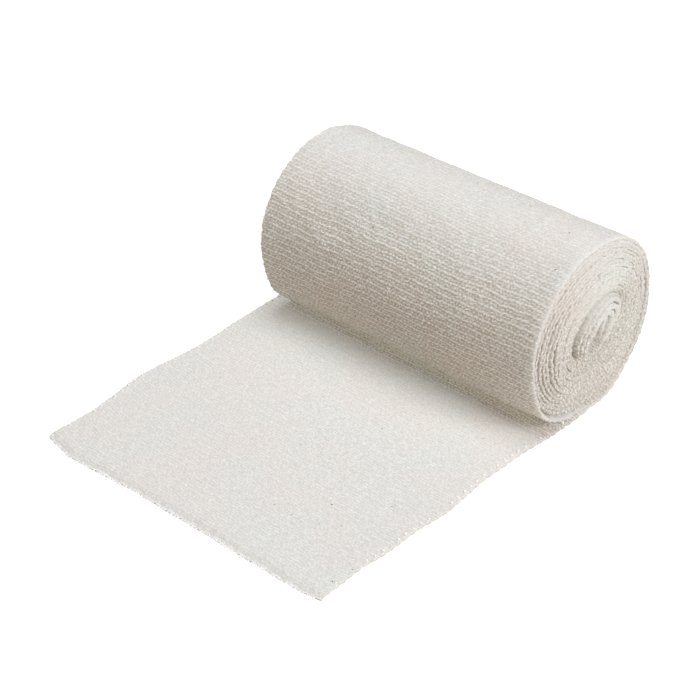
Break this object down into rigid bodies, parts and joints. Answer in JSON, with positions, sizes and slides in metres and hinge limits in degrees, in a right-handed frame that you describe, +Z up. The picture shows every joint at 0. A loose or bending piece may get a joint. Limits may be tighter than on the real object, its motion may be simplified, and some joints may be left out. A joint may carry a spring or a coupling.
{
  "type": "crepe bandage",
  "caption": "Cotton crepe bandage wound into a roll on its side, its free end drawn out flat in front; stretchy woven strip for support and dressing.",
  "frame": {"origin": "under the middle of the whole bandage, on the surface it rests on", "axes": "+X along the roll towards its near end, -Y towards the free end's cut edge, +Z up"},
  "size_m": [0.1008, 0.1334, 0.0524],
  "materials": {
    "cotton_crepe": "matt, napped cotton crepe"
  },
  "bodies": {
    "root": {"bandage": "cotton_crepe"}
  },
  "joints": []
}
